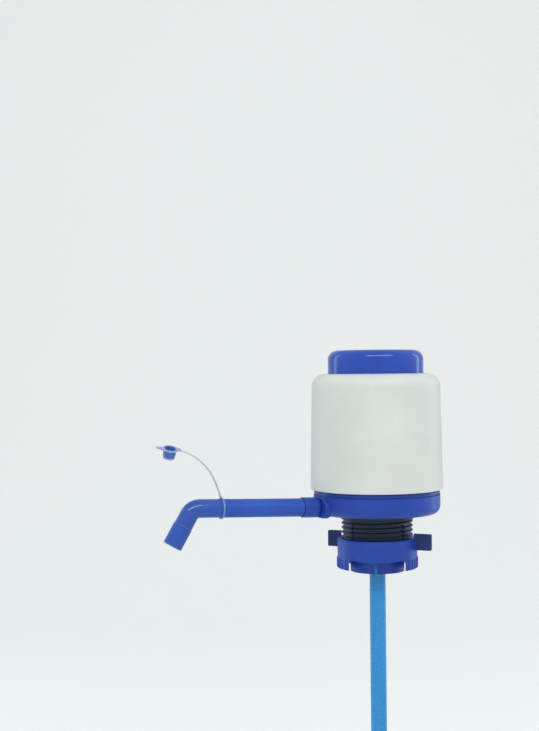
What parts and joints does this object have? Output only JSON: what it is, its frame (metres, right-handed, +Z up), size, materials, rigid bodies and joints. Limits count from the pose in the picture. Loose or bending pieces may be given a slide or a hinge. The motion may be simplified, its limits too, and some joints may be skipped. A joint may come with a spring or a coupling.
{
  "type": "water bottle hand pump",
  "caption": "Hand pump for large water bottles: push cap and bellows in a white cover, blue base, swivelling spout with tethered plug, screw clamp and dip tube.",
  "frame": {"origin": "on the pump's axis, in the plane where the bottle's rim meets the gasket", "axes": "+Z up along the pump's axis, -X along the spout"},
  "size_m": [0.2805, 0.1254, 0.6067],
  "materials": {
    "blue_plastic": "moulded, satin gloss",
    "white_plastic": "moulded, fine matt grain",
    "dark_plastic": "moulded, matt",
    "milky_plastic": "translucent, waxy",
    "pale_blue_plastic": "translucent, smooth",
    "clear_blue_plastic": "translucent, smooth",
    "black_rubber": "soft, matt",
    "steel": "stainless, drawn"
  },
  "bodies": {
    "base": {"base_drum": "blue_plastic", "cover": "white_plastic", "deck_plate": "white_plastic", "bellows": "milky_plastic", "bellows_clamp_ring": "white_plastic", "check_valve_pin": "white_plastic", "water_elbow": "white_plastic", "spout_collar": "blue_plastic", "threaded_neck": "dark_plastic", "neck_gasket": "black_rubber", "dip_tube_socket": "dark_plastic", "dip_tube_seal": "black_rubber", "dip_tube_upper": "pale_blue_plastic", "dip_tube_coupler": "pale_blue_plastic", "dip_tube_lower": "pale_blue_plastic", "deck_screw_1": "steel", "deck_screw_2": "steel", "deck_screw_3": "steel", "deck_screw_4": "steel", "neck_screw_1": "steel", "neck_screw_2": "steel", "neck_screw_3": "steel", "neck_screw_4": "steel"},
    "cap": {"push_cap": "blue_plastic", "bellows_head": "white_plastic", "intake_valve_pin": "white_plastic"},
    "intake_valve": {"intake_valve_disc": "black_rubber"},
    "check_valve": {"check_valve_disc": "black_rubber"},
    "split_ring": {"grip_ring": "blue_plastic"},
    "nut": {"clamp_nut": "blue_plastic"},
    "spout": {"spout_tube": "blue_plastic", "spout_elbow": "blue_plastic", "nozzle_sleeve": "blue_plastic", "spout_o_ring": "black_rubber"},
    "plug": {"tethered_plug": "clear_blue_plastic"}
  },
  "joints": [
    {"name": "cap_press", "type": "slide", "parent": "base", "child": "cap", "axis": [0, 0, -1], "range_m": [0, 0.02], "stiffness_N_per_m": 1000, "springref_m": -0.006, "deforming": ["bellows"]},
    {"name": "intake_valve_lift", "type": "slide", "parent": "cap", "child": "intake_valve", "axis": [0, 0, -1], "range_m": [0, 0.0015], "stiffness_N_per_m": 6, "springref_m": -0.002},
    {"name": "check_valve_lift", "type": "slide", "parent": "base", "child": "check_valve", "axis": [0, 0, -1], "range_m": [0, 0.0015], "stiffness_N_per_m": 6, "springref_m": -0.002},
    {"name": "split_ring_travel", "type": "slide", "parent": "base", "child": "split_ring", "axis": [0, 0, -1], "range_m": [0, 0.0086]},
    {"name": "nut_turn", "type": "hinge", "parent": "split_ring", "child": "nut", "pos_m": [0, 0, -0.026], "axis": [0, 0, -1], "range_deg": [0, 720]},
    {"name": "spout_swivel", "type": "hinge", "parent": "base", "child": "spout", "pos_m": [-0.0612, 0, 0.014], "axis": [-0.9992, 0, 0.0401], "range_deg": [-90, 90]},
    {"name": "plug_ring_turn", "type": "hinge", "parent": "spout", "child": "plug", "pos_m": [-0.15702, 0, 0.01785], "axis": [-0.9992, 0, 0.0401], "continuous": true}
  ],
  "couplings": [
    {"joint": "nut_turn", "follows": "split_ring_travel", "rad_per_m": 1461.2}
  ]
}
